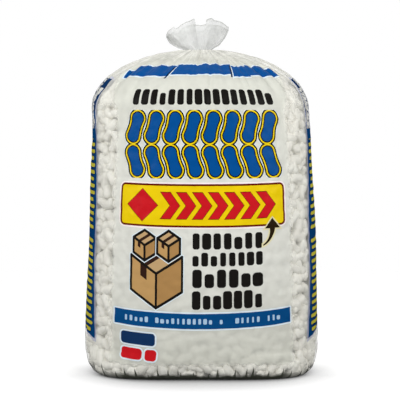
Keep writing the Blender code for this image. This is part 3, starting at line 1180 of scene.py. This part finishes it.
def side_film():
    """A blue panel down each gusset, with a ladder of yellow bars, crushed at the shoulder and
    painted darker there in ragged patches as shade in the crushed film.
    """
    film = FilmMaterial("side_film", gloss=0.0)
    u, v = split(film.place)
    across = abs(u) - FLAT_WIDTH / 4
    gathered = larger(v - CRUSH_START, 0.0)
    widening = (u < 0.0) * SIDE_LEFT_SPREAD - SIDE_TAPER
    half_width = gathered * widening - v * SIDE_NARROWING + SIDE_HALF_WIDTH
    past_side = abs(across) - half_width
    bottom = across * SIDE_SLANT + SIDE_BOTTOM
    panel = larger(past_side, larger(bottom - v, v - SIDE_TOP))
    ragged = cloudy(film.place, *RAGGED_GRAIN)
    edge = (v > CRUSH_MIDDLE + CRUSH_HALF) * SLASH_WIDTH + SIDE_EDGE
    edge = edge * (ragged * RAGGED_SPREAD[0] - RAGGED_SPREAD[1])
    bare = (past_side < -edge) * (v > CRUSH_MIDDLE - CRUSH_HALF)
    panel = panel + bare
    margin, margin_alpha = SIDE_KEYLINE
    film.ink(panel, LAVENDER, margin, margin_alpha)
    film.ink(panel, SIDE_BLUE)
    specks = cloudy(film.place, *SPECK_GRAIN) > SPECK_SHARE
    speckled = (past_side < -SPECK_INSET) * (v < SPECKS_TOP) * (bare * specks)
    film.lay(speckled, NAVY, SPECK_ALPHA)
    # Painted shade: the crushed folds at the shoulder are laid darker, in ragged patches.
    folded = (v > CRUSH_START) * (panel < 0.0)
    film.lay(folded * (ragged > RAGGED_SHADE), NAVY)
    above_gap = v > RUNG_GAP_BOTTOM
    run = v - above_gap * RUNG_GAP
    rung = run // RUNG_PITCH
    height = run - (rung + 0.5) * RUNG_PITCH
    short = rung % 3.0 < 0.5
    inset = short * RUNG_SHORTER + (RUNG_INSET + RUNG_SIZE[0] + RUNG_SIZE[1])
    mark = use_group(peanut_mark, join(height, past_side + inset), *RUNG_SIZE)
    outside = larger(run - RUNGS_TOP, RUNGS_BOTTOM - v) > 0.0
    in_gap = above_gap * (v < RUNG_GAP_BOTTOM + RUNG_GAP)
    mark = larger(mark + larger(outside, in_gap), panel + RUNG_INSET / 2)
    for colour, grow in RUNG_INKS:
        film.ink(mark, colour, grow)
    return film.finish()


TUFT_COLOUR = (0.70, 0.71, 0.69)
TUFT_ALPHA = 0.16
MOUTH_EDGE = 0.0035


def tuft_film():
    """The film above the tie, smoother than below it, with its cut edge seen as a thin line."""
    film = FilmMaterial("tuft_film", TUFT_COLOUR, TUFT_ALPHA, streaks=0.3, crumple=1.0)
    _, v = split(film.place)
    film.lay(v > float(flat_heights[-1]) - MOUTH_EDGE, RIM_COLOUR, RIM_ALPHA)
    return film.finish()


film = make_film()
for material in (FilmMaterial("clear_film").finish(), front_film(), side_film(), tuft_film()):
    film.data.materials.append(material)
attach(film, "root")
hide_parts("film_bag")

# The loose fill
# Foam peanuts, puffed from starch into short bent lobes with a waist. The outer ones lie against
# the film, more show in the gaps between them, and one mass stands for all those behind, painted
# dark as shade.
PEANUT_LENGTH = 0.043
PEANUT_RADIUS = 0.0158
FILM_CLEARANCE = 0.0016
FILM_CURVATURE = 8.0
DOME_CURVATURE = 14.0
FOOT_CURVATURE = 24.0
DOME_CURVE_START = 0.88
FOOT_CURVE_END = 0.02
PEANUT_SIDES = 7
PEANUT_RINGS = 8
OUTER_UNEVENNESS = 0.10
INNER_UNEVENNESS = 0.50
INNER_PITCH = 0.030
INNER_DEPTH = 0.032
CORE_DEPTH = 0.040
CORE_STRIDE = 6
FOAM_COLOUR = (0.93, 0.92, 0.855)
FOAM_SHADE = (0.84, 0.82, 0.75)
# Painted shade: a darker copy of the foam for the mass behind the peanuts.
FOAM_IN_SHADE = (0.52, 0.50, 0.44)
FOAM_IN_SHADE_DARK = (0.36, 0.34, 0.29)
FOAM_ROUGHNESS = 0.85
FOAM_GLOSS = 0.25
FOAM_GRAIN = (26.0, 2.0, 0.5)
FOAM_TONES = (0.35, 0.62)
CELL_SCALE = 420.0
CELL_BUMP = 0.35
CELL_DEPTH = 0.001


def peanut_shape(name, waist, bend, twist):
    """One foam peanut: a blunt rounded bar with a waist, bent to a C, or to an S by its twist."""
    bm = bmesh.new()
    bmesh.ops.create_uvsphere(bm, u_segments=PEANUT_SIDES, v_segments=PEANUT_RINGS, radius=1.0)
    for vertex in bm.verts:
        along = vertex.co.z
        girth = PEANUT_RADIUS * (1 - waist * math.exp(-((along / 0.4) ** 2)))
        blunt = min(1.5, math.sqrt(1 + along * along))
        vertex.co.x = vertex.co.x * girth * blunt
        vertex.co.y = vertex.co.y * girth * blunt * 0.9
        vertex.co.x += bend * (along * along - 0.4) + twist * math.sin(math.pi * along)
        vertex.co.z = along * PEANUT_LENGTH / 2
    bmesh.ops.recalc_face_normals(bm, faces=bm.faces)
    mesh = bpy.data.meshes.new(name)
    bm.to_mesh(mesh)
    bm.free()
    return mesh


peanut_shapes = [
    peanut_shape("peanut_eight", waist=0.28, bend=0.003, twist=0.000),
    peanut_shape("peanut_ess", waist=0.10, bend=0.000, twist=0.004),
    peanut_shape("peanut_curl", waist=0.16, bend=0.008, twist=0.000),
]


def lay_peanuts(name, spots, random, depth, unevenness):
    """Lays a peanut at each spot, turned and sized by chance, and flattened against the film."""
    bm = bmesh.new()
    for spot, outward in spots:
        shape = peanut_shapes[random.integers(len(peanut_shapes))].copy()
        roll = Matrix.Rotation(random.uniform(0, 2 * math.pi), 3, "Z")
        tip = Matrix.Rotation(math.pi / 2 + random.normal(0, unevenness), 3, "X")
        spin = Matrix.Rotation(random.uniform(0, 2 * math.pi), 3, "Z")
        facing = outward.to_track_quat("Z", "Y").to_matrix()
        size = random.uniform(0.85, 1.15)
        domed = smooth_step(DOME_CURVE_START, 1.0, spot.z / SHOULDER_HEIGHT)
        risen = smooth_step(FOOT_CURVE_END, EDGE_HEIGHT, spot.z)
        curvature = lerp(FOOT_CURVATURE, lerp(FILM_CURVATURE, DOME_CURVATURE, domed), risen)
        shape.transform((facing @ roll @ tip @ spin * size).to_4x4())
        for vertex in shape.vertices:
            height = vertex.co.dot(outward)
            aside = (vertex.co - outward * height).length_squared
            ceiling = depth - FILM_CLEARANCE - aside * curvature / 2
            vertex.co += outward * (min(height, ceiling) - height) + spot
            vertex.co.z = max(vertex.co.z, FILM_CLEARANCE)
        bm.from_mesh(shape)
        bpy.data.meshes.remove(shape)
    return make_piece(name, bm)


def loft_core():
    """The mass of fill behind the peanuts that show, as rings bridged from base to crest."""
    bm = bmesh.new()
    deep = fill_form - outward_from(fill_form) * CORE_DEPTH
    loops = []
    for line in deep[:dome_top:CORE_STRIDE, ::CORE_STRIDE]:
        ring = bmesh.ops.create_circle(bm, segments=len(line), radius=BAG_WIDTH / 2)["verts"]
        for vertex, place in zip(ring, line):
            vertex.co = place
        loops.append(list({edge for vertex in ring for edge in vertex.link_edges}))
    for lower, upper in zip(loops, loops[1:]):
        bmesh.ops.bridge_loops(bm, edges=lower + upper)
    bmesh.ops.holes_fill(bm, edges=loops[0] + loops[-1], sides=0)
    bmesh.ops.recalc_face_normals(bm, faces=bm.faces)
    return make_piece("fill_core", bm)


def two_tone(source, low, high, shade, colour):
    """A tone that goes from a shade to the full colour while its source goes from low to high."""
    node = add_node(tree_of([source]), "ShaderNodeValToRGB", source)
    first, last = node.color_ramp.elements
    first.position = low
    first.color = (*shade, 1)
    last.position = high
    last.color = (*colour, 1)
    return node.outputs["Color"]


def foam_material(name, colour, shade):
    """Puffed foam: matt and off-white, a little uneven in tone, with a skin of fine cells."""
    material, tree, shader = start_material(name, FOAM_ROUGHNESS, FOAM_GLOSS)
    place = take(tree, "ShaderNodeTexCoord", output="Object")
    patches = cloudy(place, *FOAM_GRAIN)
    feed(shader.inputs["Base Color"], two_tone(patches, *FOAM_TONES, shade, colour))
    cells = add_node(tree, "ShaderNodeTexVoronoi", place)
    feed(cells.inputs["Scale"], CELL_SCALE)
    skin = add_node(tree, "ShaderNodeBump")
    feed(skin.inputs["Strength"], CELL_BUMP)
    feed(skin.inputs["Distance"], CELL_DEPTH)
    feed(skin.inputs["Height"], cells.outputs["Distance"])
    feed(shader.inputs["Normal"], skin.outputs["Normal"])
    return material


inner_spots = scatter(fill_random, fill_form, INNER_PITCH, INNER_DEPTH)
front_spots = [spot for spot in outer_spots if spot[0].y < 0]
back_spots = [spot for spot in outer_spots if spot[0].y >= 0]
foam = foam_material("puffed_foam", FOAM_COLOUR, FOAM_SHADE)
foam_in_shade = foam_material("foam_painted_in_shade", FOAM_IN_SHADE, FOAM_IN_SHADE_DARK)
fill_pieces = {
    lay_peanuts("peanuts_front", front_spots, fill_random, OUTER_DEPTH, OUTER_UNEVENNESS): foam,
    lay_peanuts("peanuts_back", back_spots, fill_random, OUTER_DEPTH, OUTER_UNEVENNESS): foam,
    lay_peanuts("peanuts_within", inner_spots, fill_random, INNER_DEPTH, INNER_UNEVENNESS): foam,
    loft_core(): foam_in_shade,
}
for piece, material in fill_pieces.items():
    piece.data.materials.append(material)
    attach(piece, "root")
    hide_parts("peanut_fill")
for shape in peanut_shapes:
    bpy.data.meshes.remove(shape)

# The neck tie
# A natural nylon strap, moulded in one piece with the head that it is drawn through. It is
# pulled tight round the gathered neck, down in the funnel that the film makes there.
TIE_COLOUR = (0.80, 0.79, 0.74)
TIE_SHADE = (0.70, 0.685, 0.62)
TIE_FLOW = (60.0, 60.0, 400.0)
TIE_GRAIN = (5.0, 2.0, 0.5)
TIE_TONES = (0.35, 0.65)
TIE_ROUGHNESS = 0.35
TIE_GLOSS = 0.5


def nylon_material():
    """Natural nylon: milky, half gloss, with faint flow marks from the mould."""
    material, tree, shader = start_material("natural_nylon", TIE_ROUGHNESS, TIE_GLOSS)
    place = take(tree, "ShaderNodeTexCoord", output="Object")
    flow = cloudy(vector_calc("MULTIPLY", place, TIE_FLOW), *TIE_GRAIN)
    feed(shader.inputs["Base Color"], two_tone(flow, *TIE_TONES, TIE_SHADE, TIE_COLOUR))
    return material


tie_nylon = nylon_material()
for tie_slot in bpy.data.objects["neck_tie"].material_slots:
    tie_slot.material = tie_nylon

# The studio
# A white floor that keeps the bag's soft shadow and fades into a white surround. Broad lamps
# stand at both sides in front and hang above, and the camera looks a little down.
CAMERA_DISTANCE = 2.70
CAMERA_HEIGHT = 0.706
CAMERA_PITCH = 5.5
CAMERA_SIDE = -0.005
LENS = 88.65
SENSOR_WIDTH = 36.0
FLOOR_RADIUS = 3.0
FLOOR_DROP = 0.0005
FLOOR_ROUGHNESS = 0.9
FLOOR_FADE_START = 0.9
FLOOR_FADE_END = 1.7
FLOOR_SEEN = 0.50
FLOOR_BOUNCE = 0.14
FLOOR_GLOW = 0.78
CONTACT_REACH = 0.15
CONTACT_FRONT = (-0.17, -0.04)
SKY_ABOVE = 0.30
SKY_LEVEL = 0.36
SKY_BELOW = 0.13
SKY_FADE = -0.1
LAMPS = [
    ("left_lamp", (-1.6, -2.0, 1.45), 1.3, 41.0),
    ("right_lamp", (1.6, -2.0, 1.45), 1.3, 39.0),
    ("top_lamp", (0.0, 0.3, 2.8), 1.8, 7.5),
]
LAMP_TARGET = Vector((0.0, 0.0, 0.70))


def add_camera():
    camera = bpy.data.objects.new("camera", bpy.data.cameras.new("camera"))
    camera.data.lens = LENS
    camera.data.sensor_width = SENSOR_WIDTH
    camera.location = (CAMERA_SIDE, -CAMERA_DISTANCE, CAMERA_HEIGHT)
    camera.rotation_euler = (math.radians(90 - CAMERA_PITCH), 0.0, 0.0)
    bpy.context.scene.collection.objects.link(camera)
    bpy.context.scene.camera = camera


def add_lamps():
    for name, place, size, power in LAMPS:
        lamp = bpy.data.objects.new(name, bpy.data.lights.new(name, "AREA"))
        lamp.data.size = size
        lamp.data.energy = power
        lamp.location = place
        lamp.rotation_euler = (Vector(place) - LAMP_TARGET).to_track_quat("Z", "Y").to_euler()
        bpy.context.scene.collection.objects.link(lamp)


def seen_directly(tree):
    """1 where the camera, a mirror or glass sees the surface, 0 where only light does."""
    path = add_node(tree, "ShaderNodeLightPath").outputs
    by_camera = Measure(path["Is Camera Ray"])
    return larger(larger(by_camera, path["Is Glossy Ray"]), path["Is Transmission Ray"])


def add_sky():
    """A white surround, which lights the bag a little less from above than from the sides, and least
    from below.
    """
    world = bpy.data.worlds.new("studio")
    world.use_nodes = True
    tree = world.node_tree
    direction = take(tree, "ShaderNodeTexCoord", output="Generated")
    height = take(tree, "ShaderNodeSeparateXYZ", direction, output="Z")
    above = ramp(height, 0.0, 1.0, SKY_LEVEL, SKY_ABOVE)
    light = ramp(height, SKY_FADE, 0.0, SKY_BELOW, above)
    background = tree.nodes["Background"]
    feed(background.inputs["Color"], (1, 1, 1, 1))
    feed(background.inputs["Strength"], ramp(seen_directly(tree), 0.0, 1.0, light, 1.0))
    bpy.context.scene.world = world


def add_floor():
    """A white sheet under the bag, which fades out into the white surround, with a painted contact
    shadow in front of the bag.
    """
    bm = bmesh.new()
    bmesh.ops.create_circle(bm, cap_ends=True, segments=96, radius=FLOOR_RADIUS)
    floor = make_piece("floor", bm)
    floor.location.z = -FLOOR_DROP
    material, tree, shader = start_material("white_floor", FLOOR_ROUGHNESS, 0.0)
    seen = seen_directly(tree)
    place = take(tree, "ShaderNodeTexCoord", output="Object")
    _, y = split(place)
    # Painted shadow: the floor is darkened by the occlusion that the node finds near the bag, in
    # front of the bag only.
    front = ramp(y, *CONTACT_FRONT, 1.0, 0.0)
    contact = add_node(tree, "ShaderNodeAmbientOcclusion", None, CONTACT_REACH, samples=8)
    open_share = Measure(contact.outputs["AO"])
    near = 1.0 - (1.0 - open_share) * front
    fade = ramp(length(place), FLOOR_FADE_START, FLOOR_FADE_END, 1.0, 0.0)
    feed(shader.inputs["Base Color"], ramp(seen, 0.0, 1.0, FLOOR_BOUNCE, near * FLOOR_SEEN))
    feed(shader.inputs["Emission Color"], (1, 1, 1, 1))
    feed(shader.inputs["Emission Strength"], near * seen * FLOOR_GLOW)
    feed(shader.inputs["Alpha"], fade)
    floor.data.materials.append(material)


add_camera()
add_lamps()
add_sky()
add_floor()
bpy.context.scene.view_settings.view_transform = "Standard"
